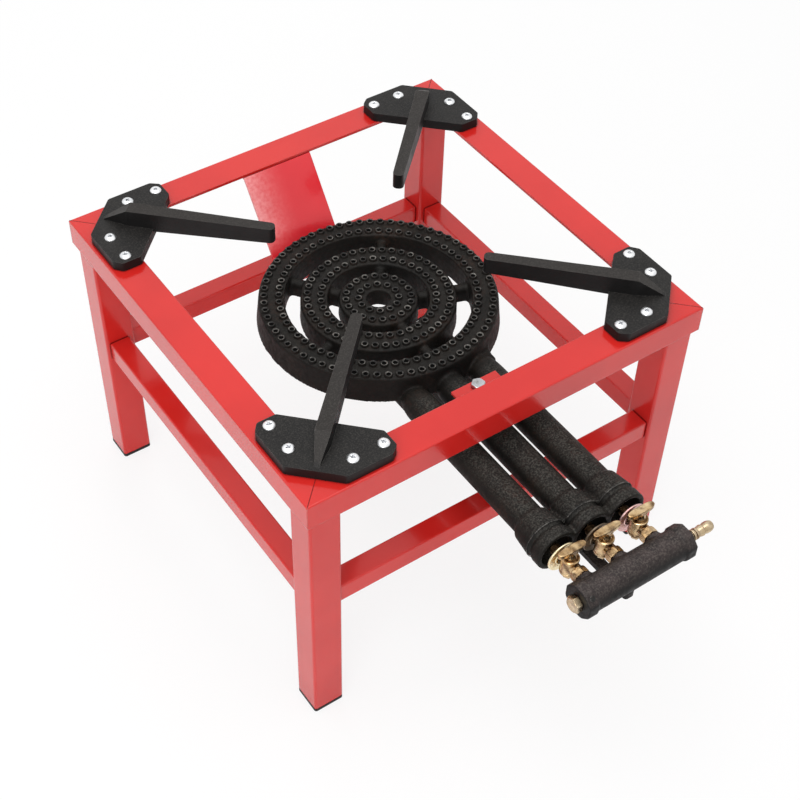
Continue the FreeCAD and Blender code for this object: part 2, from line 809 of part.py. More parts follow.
def gas_rail_plug():
    body = new_body("gas_rail_plug", "-gas_rail_left", "-gas_rail_place", "tube_axis")
    head = new_sketch(body, "head", "YZ_Plane")
    hexagon(head, "plug_across")
    extrude(body, head, "plug_head", back=True)
    thread = new_sketch(body, "thread", "YZ_Plane")
    circle(thread, "gas_rail_thread - thread_gap")
    extrude(body, thread, "gas_rail_thread_length - 1")
    return body


def hose_nozzle():
    body = new_body("hose_nozzle", "gas_rail_right", "-gas_rail_place", "tube_axis")
    half = new_sketch(body, "half", "XZ_Plane")
    barb, land = "nozzle_barb_radius", "nozzle_barb_land"
    polygon(
        half,
        [
            ("-gas_rail_thread_length + 1", "nozzle_bore"),
            ("-gas_rail_thread_length + 1", "gas_rail_thread - thread_gap"),
            ("0", "gas_rail_thread - thread_gap"),
            ("0", "nozzle_neck_radius"),
            ("nozzle_neck", "nozzle_neck_radius"),
            ("nozzle_neck + 1", barb),
            (f"nozzle_neck + 1 + {land}", barb),
            (f"nozzle_neck + 4 + {land}", "nozzle_root_radius"),
            (f"nozzle_neck + 5 + {land}", barb),
            (f"nozzle_neck + 5 + 2 * {land}", barb),
            (f"nozzle_neck + 8 + 2 * {land}", "nozzle_root_radius"),
            (f"nozzle_neck + 9 + 2 * {land}", barb),
            ("nozzle_reach - 3", barb),
            ("nozzle_reach", "nozzle_barb_radius - 2"),
            ("nozzle_reach", "nozzle_bore"),
        ],
    )
    revolve(body, half, "H_Axis")
    return body


# Flat bar from the rail's lug to the middle mixing tube's pad
def rail_arm():
    body = new_body("rail_arm", z="rail_arm_top - rail_arm_thickness")
    bar = new_sketch(body, "bar", "XY_Plane")
    rectangle(
        bar,
        "-rail_arm_width / 2",
        "rail_arm_width / 2",
        "-gas_rail_place - rail_arm_width / 2",
        "-rail_arm_screw_place + rail_arm_end",
    )
    circle(bar, "rail_arm_screw_radius + bolt_gap", "0", "-gas_rail_place")
    circle(bar, "rail_arm_screw_radius + bolt_gap", "0", "-rail_arm_screw_place")
    extrude(body, bar, "rail_arm_thickness")
    fillet(body, "rail_arm_width * 0.3", lambda e: along(e, 2))
    return body


def rail_arm_screws():
    length = number("rail_arm_thickness + rail_arm_screw_depth")
    head = number("rail_arm_screw_head"), number("rail_arm_screw_head_height")
    profile = pan_head_profile(number("rail_arm_screw_radius"), *head, length)
    seat = number("rail_arm_top - rail_arm_thickness")
    down = FreeCAD.Vector(0, 0, -1)
    places = (number("-gas_rail_place"), number("-rail_arm_screw_place"))
    return new_group("rail_arm_screws", [turned_solid(profile, FreeCAD.Vector(0, y, seat), down) for y in places])


# Taps. Each piece is drawn about its key's axis at the height of the gas way.
TAPS = {"left": "-tube_pitch", "middle": "0", "right": "tube_pitch"}


def at_tap(label, tap):
    return new_body(f"{label}_{tap}", TAPS[tap], "-key_place", "tube_axis")


def tap_body(tap):
    body = at_tap("tap_body", tap)
    inlet = "gas_rail_face - key_place"
    barrel = new_sketch(body, "barrel", "XY_Plane")
    circle(barrel, "barrel_radius")
    extrude(body, barrel, "2 * barrel_half", both=True)
    nut = new_sketch(body, "nut", "XZ_Plane")
    hexagon(nut, "inlet_across")
    extrude(body, nut, inlet)
    for name, radius, length, back in (
        ("thread", "inlet_thread", f"{inlet} + inlet_thread_length", False),
        ("outlet", "outlet_radius", "outlet_length", True),
    ):
        item = new_sketch(body, name, "XZ_Plane")
        circle(item, radius)
        extrude(body, item, length, back=back)
    seat = new_sketch(body, "key_seat", "XY_Plane")
    circle(seat, "key_plug_radius + running_gap")
    extrude(body, seat, kind="Pocket")
    way = new_sketch(body, "gas_way", "XZ_Plane")
    circle(way, "gas_way")
    extrude(body, way, kind="Pocket")
    jet = new_sketch(body, "injector_seat", "XZ_Plane", out="-outlet_length")
    circle(jet, "injector_thread + thread_gap")
    extrude(body, jet, "injector_thread_length + 1", kind="Pocket", back=True)
    return body


def tap_key(tap):
    body = at_tap("tap_key", tap)
    plug = new_sketch(body, "plug", "XY_Plane", out="-barrel_half")
    circle(plug, "key_plug_radius")
    extrude(body, plug, "2 * barrel_half")
    stem = new_sketch(body, "stem", "XY_Plane", out="-barrel_half")
    circle(stem, "key_stem_radius")
    extrude(body, stem, "key_stem", back=True)
    collar = new_sketch(body, "collar", "XY_Plane", out="barrel_half")
    circle(collar, "wing_neck_width / 2")
    extrude(body, collar, "wing_collar")
    neck, tip = "wing_neck_width / 2", "wing_width / 2"
    outline = [
        (neck, "barrel_half + wing_rise"),
        (neck, "barrel_half + wing_collar"),
        ("wing_fan", "wing_fan_height"),
        (tip, "wing_top - wing_end_height"),
        (tip, "wing_top"),
    ]
    wing = new_sketch(body, "wing", "XZ_Plane")
    polygon(wing, outline + [("0", "wing_top - wing_dip")] + [(f"-{x}", z) for x, z in reversed(outline)])
    extrude(body, wing, "wing_thickness", both=True)
    wide = number("wing_width / 2 - 0.01")
    fillet(body, "wing_radius", lambda e: along(e, 1) and abs(middle(e).x) > wide)
    way = new_sketch(body, "gas_way", "YZ_Plane")
    circle(way, "gas_way")
    extrude(body, way, kind="Pocket")
    return body


def key_washer(tap):
    body = at_tap("key_washer", tap)
    ring = new_sketch(body, "ring", "XY_Plane", out="-barrel_half")
    circle(ring, "key_washer_radius")
    circle(ring, "key_stem_radius + thread_gap")
    extrude(body, ring, "key_washer_thickness", back=True)
    return body


def key_nut(tap):
    body = at_tap("key_nut", tap)
    ring = new_sketch(body, "ring", "XY_Plane", out="-barrel_half - key_washer_thickness")
    hexagon(ring, "key_nut_across")
    circle(ring, "key_stem_radius + thread_gap")
    extrude(body, ring, "key_nut_height", back=True)
    return body


def injector(tap):
    body = at_tap("injector", tap)
    half = new_sketch(body, "half", "YZ_Plane")
    seat = "outlet_length"
    polygon(
        half,
        [
            (f"{seat} - injector_thread_length", "0"),
            (f"{seat} - injector_thread_length", "injector_thread"),
            (f"{seat} + injector_head", "injector_thread"),
            (f"{seat} + injector_head + injector_nose", "injector_tip_radius"),
            (f"{seat} + injector_head + injector_nose", "0"),
        ],
    )
    revolve(body, half, "H_Axis")
    head = new_sketch(body, "head", "XZ_Plane", out=f"-({seat})")
    hexagon(head, "injector_across")
    extrude(body, head, "injector_head", back=True)
    return body


def air_shutter(tap):
    body = at_tap("air_shutter", tap)
    disc = new_sketch(body, "disc", "XZ_Plane", out="-barrel_radius - shutter_gap")
    circle(disc, "shutter_radius")
    circle(disc, "outlet_radius + running_gap")
    extrude(body, disc, "shutter_thickness", back=True)
    return body


def check_and_write():
    """Stops at a failed object; otherwise writes each sub-part to its own file."""
    doc.recompute()
    for item in doc.Objects:
        if "Invalid" in item.State or "Error" in item.State:
            raise RuntimeError(f"{item.Label} failed: {item.State}")
    for item in sub_parts:
        if item.Shape.isNull() or not item.Shape.isValid():
            raise RuntimeError(f"{item.Label} has no valid shape")
    os.makedirs("parts", exist_ok=True)
    for item in sub_parts:
        item.Shape.exportStep(f"parts/{item.Label}.step")
        print(f"{item.Label}: {len(item.Shape.Solids)} solid(s), {item.Shape.Volume / 1000:.2f} cm3")


for quarter, name in enumerate(("front", "right", "rear", "left")):
    top_rail("top_rail_" + name, 90 * quarter)
    lower_rail("lower_rail_" + name, 90 * quarter)
for quarter, corner in enumerate(CORNERS):
    leg(corner)
    foot_cap(corner)
    pan_support(corner, 90 * quarter)
pan_support_screws()
front_bracket()
rear_strap()
burner_casting()
front_place = ("0", "-front_bolt_place", "bracket_top")
hexagon_bolt("front_bolt", front_place)
rear_place = ("0", "rear_bolt_place", "ring_top - ring_depth - strap_thickness")
hexagon_bolt("rear_bolt", rear_place, upside_down=True)
gas_rail()
gas_rail_plug()
hose_nozzle()
rail_arm()
rail_arm_screws()
for tap in TAPS:
    for piece in (tap_body, tap_key, key_washer, key_nut, injector, air_shutter):
        piece(tap)
check_and_write()
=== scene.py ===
import math

import bmesh
import bpy
from mathutils import Matrix, Vector

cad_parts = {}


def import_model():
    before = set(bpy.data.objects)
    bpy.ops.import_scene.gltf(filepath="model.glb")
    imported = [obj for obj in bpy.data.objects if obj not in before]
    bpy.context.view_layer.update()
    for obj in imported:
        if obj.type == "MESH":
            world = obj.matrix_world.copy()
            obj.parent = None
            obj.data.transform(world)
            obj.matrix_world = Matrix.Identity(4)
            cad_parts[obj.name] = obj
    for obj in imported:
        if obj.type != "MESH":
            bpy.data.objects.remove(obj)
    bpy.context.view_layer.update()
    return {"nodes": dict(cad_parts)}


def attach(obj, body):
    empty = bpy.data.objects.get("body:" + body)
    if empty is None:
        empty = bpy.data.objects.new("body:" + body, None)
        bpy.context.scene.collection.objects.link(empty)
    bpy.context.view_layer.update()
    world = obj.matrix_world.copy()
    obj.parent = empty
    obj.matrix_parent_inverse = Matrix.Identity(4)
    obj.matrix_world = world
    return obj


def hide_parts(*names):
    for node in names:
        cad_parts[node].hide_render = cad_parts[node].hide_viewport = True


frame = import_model()
nodes = frame["nodes"]

MM = 0.001
CORNERS = {"front_left": (-1, -1), "front_right": (1, -1), "rear_right": (1, 1), "rear_left": (-1, 1)}
SIDES = ("front", "right", "rear", "left")
TAPS = {"left": -35, "middle": 0, "right": 35}

# Heights (Z) in millimetres, as in the CAD model
FLANGE_TOP = 293.5
PLATE_TOP = 302.5
BRACKET_TOP = 267.5
STRAP_FOOT_BOTTOM = 223
TUBE_AXIS = 235
DUCT_AXIS = 222
ARM_TOP = 211
ARM_BOTTOM = 206

# Places (X or Y) in millimetres, as in the CAD model
FRAME_HALF = 200
FRONT_BOLT_PLACE = -149
INJECTOR_PLACE = -299
SHUTTER_PLACE = -310.4
KEY_PLACE = -318
TAP_INLET_PLACE = -334
RAIL_PLACE = -350
RAIL_LEFT = -53
RAIL_RIGHT = 56

# Burner rings in millimetres, measured in the photograph. The flare is how far the foot
# spreads. Each row of ports has its radius, its count and how far round the first port
# stands, in steps between ports.
RING_BOTTOM = 230.4
RINGS = (
    {
        "inner": 84.2,
        "outer": 107.2,
        "bottom": RING_BOTTOM,
        "top": 255.1,
        "flare": 3,
        "rows": ((89.2, 59, 0.15), (102.6, 66, 0.1)),
    },
    {
        "inner": 45.8,
        "outer": 69.8,
        "bottom": RING_BOTTOM,
        "top": 252.9,
        "flare": 1.3,
        "rows": ((51.7, 35, 0), (64, 44, 0.5)),
    },
    {
        "inner": 10.9,
        "outer": 35.1,
        "bottom": 233,
        "top": 251.3,
        "flare": 1.3,
        "rows": ((18.1, 12, 0), (29.4, 20, 0.5)),
    },
)
RIB_ANGLES = (54, 126, 198, 270, 342)
# The rings sit a little to the right, and tilt about a level line through their middle height
RING_MIDDLE = 243
RING_TILT = Matrix.Rotation(math.radians(-1.1), 4, Vector((0.819, -0.574, 0)))
RING_LIFT = Matrix.Translation((0.8, -0.4, RING_MIDDLE))
RING_PLACE = RING_LIFT @ RING_TILT @ Matrix.Translation((0, 0, -RING_MIDDLE))

# Steps round a screw's or a bolt's head
HEAD_STEPS = 48


# Shapes in mesh code, in millimetres
def polar(radius, angle, height):
    """A point at a radius and an angle in radians."""
    return Vector((radius * math.cos(angle), radius * math.sin(angle), height))


def lathe(mesh, profile, turn, segments, closed=False, capped=True):
    """A surface of revolution about Z from (radius, height) points, set in place by a matrix.

    Returns its faces. A closed one joins its last point to the first, and a capped one has its
    open ends filled.
    """
    rows = []
    for radius, height in profile:
        if radius < 1e-6:
            rows.append([mesh.verts.new(turn @ Vector((0, 0, height)))])
            continue
        row = []
        for n in range(segments):
            angle = 2 * math.pi * n / segments
            row.append(mesh.verts.new(turn @ polar(radius, angle, height)))
        rows.append(row)
    pairs = list(zip(rows, rows[1:]))
    if closed:
        pairs.append((rows[-1], rows[0]))
    made = []
    for low, high in pairs:
        for n in range(segments):
            m = (n + 1) % segments
            if len(low) == 1 and len(high) == 1:
                continue
            if len(low) == 1:
                corners = (low[0], high[m], high[n])
            elif len(high) == 1:
                corners = (low[n], low[m], high[0])
            else:
                corners = (low[n], low[m], high[m], high[n])
            made.append(mesh.faces.new(corners))
    if capped and not closed:
        for row, downwards in ((rows[0], True), (rows[-1], False)):
            if len(row) > 1:
                made.append(mesh.faces.new(row[::-1] if downwards else row))
    return made


def rod(mesh, radius, low, high, turn, segments):
    """A plain round bar between two heights of its own."""
    lathe(mesh, [(0, low), (radius, low), (radius, high), (0, high)], turn, segments)


def prism(mesh, outline, low, high, turn=Matrix.Identity(4)):
    """An upright prism over an outline of (x, y) points."""
    bottom = [mesh.verts.new(turn @ Vector((x, y, low))) for x, y in outline]
    top = [mesh.verts.new(turn @ Vector((x, y, high))) for x, y in outline]
    mesh.faces.new(bottom[::-1])
    mesh.faces.new(top)
    for n in range(len(outline)):
        m = (n + 1) % len(outline)
        mesh.faces.new((bottom[n], bottom[m], top[m], top[n]))


def block(mesh, low, high):
    """A box between two corners."""
    outline = [(low[0], low[1]), (high[0], low[1]), (high[0], high[1]), (low[0], high[1])]
    prism(mesh, outline, low[2], high[2])


def turned(angle, axis):
    """A turn in degrees about one of the axes."""
    return Matrix.Rotation(math.radians(angle), 4, axis)


def along_x(x, y, z):
    """Turns a shape's own Z to the stand's +X and sets it down at a place."""
    return Matrix.Translation((x, y, z)) @ turned(90, "Y")


def along_y(x, y, z):
    """Turns a shape's own Z to the stand's +Y and sets it down at a place."""
    return Matrix.Translation((x, y, z)) @ turned(-90, "X")


def upright(x, y, z, angle=0):
    """Sets a shape down at a place, turned about Z."""
    return Matrix.Translation((x, y, z)) @ turned(angle, "Z")


def upside_down(x, y, z):
    """Turns a shape's own Z to the stand's -Z and sets it down at a place."""
    return Matrix.Translation((x, y, z)) @ turned(180, "X")


def piece(name, mesh, finish, body="stand", replaces=(), smooth=40):
    """Turns a bmesh in millimetres into an object that rides on a body."""
    bmesh.ops.recalc_face_normals(mesh, faces=mesh.faces)
    data = bpy.data.meshes.new(name)
    mesh.to_mesh(data)
    mesh.free()
    data.transform(Matrix.Scale(MM, 4))
    for item in finish if isinstance(finish, (list, tuple)) else (finish,):
        data.materials.append(item)
    thing = bpy.data.objects.new(name, data)
    bpy.context.scene.collection.objects.link(thing)
    shade(data, smooth)
    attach(thing, body)
    if replaces:
        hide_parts(*replaces)
    return thing


def shade(data, angle):
    """Smooth faces, with edges sharper than the angle left sharp."""
    mesh = bmesh.new()
    mesh.from_mesh(data)
    for face in mesh.faces:
        face.smooth = True
    for edge in mesh.edges:
        if len(edge.link_faces) == 2 and edge.calc_face_angle(0) > math.radians(angle):
            edge.smooth = False
    mesh.to_mesh(data)
    mesh.free()


def bevel(thing, width, segments, angle, weld=False):
    """Rounded edges with even normals. A carried-over node has its points joined first."""
    if weld:
        join = thing.modifiers.new("weld", "WELD")
        join.merge_threshold = 0.02 * MM
    edge = thing.modifiers.new("bevel", "BEVEL")
    edge.width = width * MM
    edge.segments = segments
    edge.limit_method = "ANGLE"
    edge.angle_limit = math.radians(angle)
    edge.use_clamp_overlap = True
    even = thing.modifiers.new("normals", "WEIGHTED_NORMAL")
    even.keep_sharp = True


def bake(thing):
    """Applies every modifier of an object to its mesh."""
    bpy.context.view_layer.update()
    ready = thing.evaluated_get(bpy.context.evaluated_depsgraph_get())
    data = bpy.data.meshes.new_from_object(ready)
    thing.modifiers.clear()
    thing.data = data


def cast(thing, voxel, rounds):
    """Turns overlapping solids into one skin with softened edges, as a sand casting has."""
    skin = thing.modifiers.new("skin", "REMESH")
    skin.mode = "VOXEL"
    skin.voxel_size = voxel * MM
    skin.use_smooth_shade = True
    soft = thing.modifiers.new("soft", "SMOOTH")
    soft.factor = 0.5
    soft.iterations = rounds
    bake(thing)


# Materials
def tone(red, green, blue):
    """A colour as a screen shows it, turned to the linear values that shaders take."""
    linear = []
    for level in (red, green, blue):
        share = level / 255
        linear.append(((share + 0.055) / 1.055) ** 2.4 if level > 10 else share / 12.92)
    return (*linear, 1)


class Finish:
    """A material with helpers that add its nodes."""

    def __init__(self, name, metallic=0.0, specular=0.5, coat=0.0, coat_roughness=0.1):
        self.material = bpy.data.materials.new(name)
        self.material.use_nodes = True
        self.tree = self.material.node_tree
        self.shader = self.tree.nodes["Principled BSDF"]
        self.shader.inputs["Metallic"].default_value = metallic
        self.shader.inputs["Specular IOR Level"].default_value = specular
        self.shader.inputs["Coat Weight"].default_value = coat
        self.shader.inputs["Coat Roughness"].default_value = coat_roughness
        self.place = self.node("ShaderNodeTexCoord").outputs["Object"]

    def node(self, kind):
        return self.tree.nodes.new(kind)

    def link(self, source, target):
        self.tree.links.new(source, target)

    def noise(self, scale, detail=3.0, roughness=0.5, stretch=None):
        texture = self.node("ShaderNodeTexNoise")
        texture.inputs["Scale"].default_value = scale
        texture.inputs["Detail"].default_value = detail
        texture.inputs["Roughness"].default_value = roughness
        place = self.place
        if stretch:
            mapping = self.node("ShaderNodeMapping")
            mapping.inputs["Scale"].default_value = stretch
            self.link(place, mapping.inputs["Vector"])
            place = mapping.outputs["Vector"]
        self.link(place, texture.inputs["Vector"])
        return texture.outputs["Fac"]

    def spread(self, source, low, high, to_low=0.0, to_high=1.0):
        """A value between two limits stretched over two others, and held there outside them."""
        reach = self.node("ShaderNodeMapRange")
        for name, amount in zip(("From Min", "From Max", "To Min", "To Max"), (low, high, to_low, to_high)):
            reach.inputs[name].default_value = amount
        self.link(source, reach.inputs["Value"])
        return reach.outputs["Result"]

    def mix(self, share, first, second):
        """The first colour at share 0 and the second at share 1; each is a value or a socket."""
        blend = self.node("ShaderNodeMix")
        blend.data_type = "RGBA"
        self.link(share, blend.inputs["Factor"])
        for source, target in ((first, blend.inputs[6]), (second, blend.inputs[7])):
            if isinstance(source, tuple):
                target.default_value = source
            else:
                self.link(source, target)
        return blend.outputs[2]

    def times(self, first, second):
        product = self.node("ShaderNodeMath")
        product.operation = "MULTIPLY"
        for source, target in ((first, product.inputs[0]), (second, product.inputs[1])):
            if isinstance(source, (int, float)):
                target.default_value = source
            else:
                self.link(source, target)
        return product.outputs[0]

    def edges(self, radius):
        """1 along edges and corners, 0 on flat surfaces."""
        rounded = self.node("ShaderNodeBevel")
        rounded.samples = 4
        rounded.inputs["Radius"].default_value = radius * MM
        here = self.node("ShaderNodeNewGeometry")
        product = self.node("ShaderNodeVectorMath")
        product.operation = "DOT_PRODUCT"
        self.link(rounded.outputs["Normal"], product.inputs[0])
        self.link(here.outputs["Normal"], product.inputs[1])
        return self.spread(product.outputs["Value"], 0.80, 0.97, 1.0, 0.0)

    def rounded(self, radius):
        """Normals that run round edges, as a folded sheet's do."""
        edge = self.node("ShaderNodeBevel")
        edge.samples = 6
        edge.inputs["Radius"].default_value = radius * MM
        return edge.outputs["Normal"]

    def crease(self, reach):
        """1 in grooves and where other pieces touch, 0 on open surfaces."""
        shelter = self.node("ShaderNodeAmbientOcclusion")
        shelter.samples = 4
        shelter.inputs["Distance"].default_value = reach * MM
        return self.spread(shelter.outputs["AO"], 0.5, 0.88, 1.0, 0.0)

    def along(self, axis, first, last):
        """0 at one place along an axis and 1 at another, in millimetres, and held there beyond them."""
        parts = self.node("ShaderNodeSeparateXYZ")
        self.link(self.place, parts.inputs["Vector"])
        return self.spread(parts.outputs[axis], first * MM, last * MM)

    def facing_up(self, low, high):
        """0 to 1 as the upward part of the surface's normal goes from low to high."""
        here = self.node("ShaderNodeNewGeometry")
        parts = self.node("ShaderNodeSeparateXYZ")
        self.link(here.outputs["Normal"], parts.inputs["Vector"])
        return self.spread(parts.outputs["Z"], low, high)

    def bump(self, height, strength, distance, under=None):
        """Relief from a height, laid over the relief or the normals under it."""
        relief = self.node("ShaderNodeBump")
        relief.inputs["Strength"].default_value = strength
        relief.inputs["Distance"].default_value = distance * MM
        self.link(height, relief.inputs["Height"])
        if under is not None:
            self.link(under, relief.inputs["Normal"])
        return relief.outputs["Normal"]

    def finish(self, colour, roughness, normal):
        self.link(colour, self.shader.inputs["Base Color"])
        self.link(roughness, self.shader.inputs["Roughness"])
        self.link(normal, self.shader.inputs["Normal"])
        return self.material


def red_coat(name="red_coat", sheen=False):
    """Glossy powder coat with painted shade in grooves and where other pieces touch. Plain, its edges are
    paler with wear and a painted highlight; with a sheen it is a brighter lit copy, hammered, with a
    painted reflection paler towards the left.
    """
    f = Finish(name, specular=0.42, coat=0.27, coat_roughness=0.06)
    fold = f.rounded(1.4)
    if sheen:
        # Painted light: the strap's coat is a brighter, lit copy of the red coat
        body = f.mix(f.noise(40), (0.74, 0.026, 0.036, 1), (0.66, 0.022, 0.032, 1))
        # Painted reflection of a lamp: paler towards the left and upwards, broken up by noise
        left_side = f.along("X", 6, -36)
        pale = f.times(f.times(left_side, left_side), f.along("Z", 228, 246))
        pale = f.times(pale, f.spread(f.noise(300, 4), 0.3, 0.66, 0.5, 1))
        colour = f.mix(pale, body, (0.92, 0.36, 0.36, 1))
        peel = f.bump(f.noise(260, 3), 0.35, 0.2, fold)
    else:
        cloud = f.spread(f.noise(14), 0.35, 0.65)
        body = f.mix(cloud, (0.61, 0.018, 0.014, 1), (0.55, 0.014, 0.011, 1))
        # Pale edges: partly wear, partly a painted highlight along the bends
        pale_edges = f.times(f.edges(0.8), f.spread(f.noise(160), 0.35, 0.65, 0.3, 0.9))
        colour = f.mix(pale_edges, body, (0.86, 0.20, 0.18, 1))
        peel = f.bump(f.noise(420, 2), 0.12, 0.04, fold)
    # Painted shade: darker red in grooves and where other pieces touch
    colour = f.mix(f.crease(2.0), colour, (0.17, 0.004, 0.004, 1))
    roughness = f.spread(f.noise(60), 0.3, 0.7, 0.17, 0.25)
    return f.finish(colour, roughness, f.bump(f.noise(35, 2), 0.08, 0.15, peel))


def seam_red():
    """The dark line where two mitred rails meet."""
    f = Finish("seam_red", specular=0.2)
    colour = f.mix(f.noise(200), (0.10, 0.004, 0.004, 1), (0.20, 0.008, 0.007, 1))
    roughness = f.spread(f.noise(150), 0.3, 0.7, 0.4, 0.6)
    return f.finish(colour, roughness, f.bump(f.noise(700), 0.2, 0.05))


def pan_iron():
    """Enamelled casting, paler towards its top, with pale specks, edges paler with wear and a painted
    highlight, and painted shade on its sides and underside.
    """
    f = Finish("pan_iron", specular=0.22)
    cloud = f.spread(f.noise(45, 5), 0.3, 0.7)
    body = f.mix(cloud, tone(17, 16, 16), tone(27, 26, 25))
    body = f.mix(f.along("Z", 303.5, 306), body, tone(38, 35, 33))
    pale = f.times(f.spread(f.noise(900, 4, 0.6), 0.48, 0.7), f.times(f.facing_up(0.4, 0.9), 0.3))
    body = f.mix(pale, body, tone(92, 88, 84))
    # Pale edges: partly wear, partly a painted highlight along the plates' edges
    pale_edges = f.times(f.edges(0.7), f.spread(f.noise(130), 0.35, 0.65))
    colour = f.mix(pale_edges, body, tone(98, 95, 92))
    # Painted shade: sides and undersides darker than the top
    colour = f.mix(f.facing_up(0.1, 0.7), tone(18, 17, 17), colour)
    roughness = f.spread(f.noise(90), 0.3, 0.7, 0.42, 0.56)
    grain = f.bump(f.noise(900, 3), 0.6, 0.16)
    return f.finish(colour, roughness, f.bump(f.noise(160, 3), 0.35, 0.25, grain))


def burner_iron():
    """Raw casting with some rust and with pale grains on top, most of all on the tubes, where they are
    partly a painted highlight.
    """
    f = Finish("burner_iron", specular=0.14)
    cloud = f.spread(f.noise(38, 5, 0.6), 0.3, 0.7)
    body = f.mix(cloud, tone(15, 14, 13), tone(27, 24, 21))
    rust = f.times(f.spread(f.noise(26, 6, 0.65), 0.52, 0.72), f.spread(f.noise(320), 0.4, 0.65))
    body = f.mix(f.times(rust, 0.5), body, tone(62, 42, 33))
    # Pale grains on upward faces: grain on the rings, and on the tubes also a painted highlight on their
    # tops
    on_tubes = f.spread(f.along("Y", -116, -126), 0, 1, 0.1, 0.45)
    grain_and_highlight_up = f.times(f.facing_up(0.4, 0.98), on_tubes)
    pale = f.times(f.spread(f.noise(700, 4, 0.65), 0.44, 0.66), grain_and_highlight_up)
    body = f.mix(pale, body, tone(98, 96, 90))
    pale_edges = f.times(f.edges(0.8), f.spread(f.noise(210), 0.45, 0.66))
    colour = f.mix(pale_edges, body, tone(96, 93, 88))
    roughness = f.spread(f.noise(240), 0.3, 0.7, 0.46, 0.68)
    grain = f.bump(f.noise(1100, 3), 0.7, 0.18)
    return f.finish(colour, roughness, f.bump(f.noise(260, 4), 0.75, 0.4, grain))


def port_metal():
    """Dark iron with pale specks, for the ports' rims, the bells' beads and the rail's pin. On the rims the
    pale is partly wear and partly painted highlight; the beads are painted highlights along the bells'
    grooves.
    """
    f = Finish("port_metal", specular=0.35)
    speck = f.spread(f.noise(90, 5, 0.8), 0.46, 0.64)
    colour = f.mix(speck, tone(18, 17, 16), tone(118, 115, 110))
    roughness = f.spread(f.noise(300), 0.3, 0.7, 0.35, 0.6)
    return f.finish(colour, roughness, f.bump(f.noise(900, 2), 0.3, 0.1))


def soot_and_shade():
    """The dark inside of the ports: partly fire blackening, partly painted shade where the holes would run
    deep into the hollow rings.
    """
    f = Finish("soot_and_shade", specular=0.1)
    colour = f.mix(f.noise(300), tone(6, 6, 6), tone(14, 13, 12))
    roughness = f.spread(f.noise(200), 0.3, 0.7, 0.8, 0.95)
    return f.finish(colour, roughness, f.bump(f.noise(800), 0.3, 0.1))


def rail_iron():
    """Brownish casting with pale grains, made nearly black below by painted shade."""
    f = Finish("rail_iron", specular=0.22)
    cloud = f.spread(f.noise(60, 5, 0.6), 0.3, 0.7)
    body = f.mix(cloud, tone(22, 19, 20), tone(62, 53, 52))
    pale = f.times(f.spread(f.noise(600, 5, 0.7), 0.46, 0.66), 0.5)
    body = f.mix(pale, body, tone(108, 100, 94))
    pale_edges = f.times(f.edges(0.9), f.spread(f.noise(180), 0.35, 0.62))
    colour = f.mix(pale_edges, body, tone(116, 106, 98))
    # Painted shade: sides and underside darker than the lit top
    colour = f.mix(f.facing_up(0.3, 1), tone(11, 9, 9), colour)
    roughness = f.spread(f.noise(200), 0.3, 0.7, 0.42, 0.62)
    grain = f.bump(f.noise(1000, 3), 0.6, 0.16)
    return f.finish(colour, roughness, f.bump(f.noise(230, 4), 0.7, 0.4, grain))


def metal(name, dark, light, rough_low, rough_high, patina=None, amount=0.5):
    """Bright metal with a cloudy colour, fine scratches and, where given, a dark patina.

    The patina lies in patches, thicker with the amount, and in grooves.
    """
    f = Finish(name, metallic=1.0)
    body = f.mix(f.spread(f.noise(120, 4), 0.3, 0.7), dark, light)
    if patina:
        patch = f.times(f.spread(f.noise(130, 5, 0.6), 0.44, 0.66), amount)
        body = f.mix(patch, body, patina)
        body = f.mix(f.crease(2.5), body, patina)
    roughness = f.spread(f.noise(380, 3), 0.3, 0.7, rough_low, rough_high)
    scratch = f.bump(f.noise(1500, 2, 0.5, (1, 1, 6)), 0.12, 0.05)
    return f.finish(body, roughness, f.bump(f.noise(170, 3), 0.15, 0.2, scratch))


def black_plastic():
    """The foot caps' plastic, scuffed along its edges."""
    f = Finish("black_plastic", specular=0.4)
    colour = f.mix(f.noise(90), tone(16, 16, 17), tone(26, 26, 27))
    pale_edges = f.times(f.edges(0.5), f.spread(f.noise(150), 0.4, 0.7))
    colour = f.mix(f.times(pale_edges, 0.5), colour, tone(80, 80, 82))
    roughness = f.spread(f.noise(130), 0.3, 0.7, 0.5, 0.65)
    return f.finish(colour, roughness, f.bump(f.noise(1200, 2), 0.3, 0.06))


RED = red_coat()
# The strap's coat: a brighter lit copy of the red coat with a painted reflection
STRAP_RED = red_coat("strap_coat", sheen=True)
PAN_IRON = pan_iron()
BURNER_IRON = burner_iron()
PORT_METAL = port_metal()
SOOT_AND_SHADE = soot_and_shade()
RAIL_IRON = rail_iron()
ZINC = metal("zinc_screw", tone(225, 227, 229), tone(248, 248, 249), 0.3, 0.44)
ZINC_PATINA = tone(120, 112, 100)
BOLT_ZINC = metal("zinc_bolt", tone(168, 170, 174), tone(218, 220, 222), 0.2, 0.38, ZINC_PATINA, 0.5)
FITTING_PATINA = tone(108, 80, 58)
FITTING = metal("brass_fitting", tone(188, 166, 132), tone(228, 212, 182), 0.2, 0.38, FITTING_PATINA, 0.55)
BRASS = metal("brass_tap", tone(176, 140, 94), tone(230, 204, 162), 0.16, 0.34, tone(70, 42, 30), 0.85)
THREAD_BRASS = metal("thread_brass", tone(60, 44, 30), tone(96, 74, 52), 0.3, 0.5)
SHUTTER_CREAM = metal("shutter_cream", tone(232, 212, 168), tone(248, 238, 206), 0.24, 0.42)
SHUTTER_PINK = metal("shutter_pink", tone(206, 160, 158), tone(232, 196, 192), 0.24, 0.42)
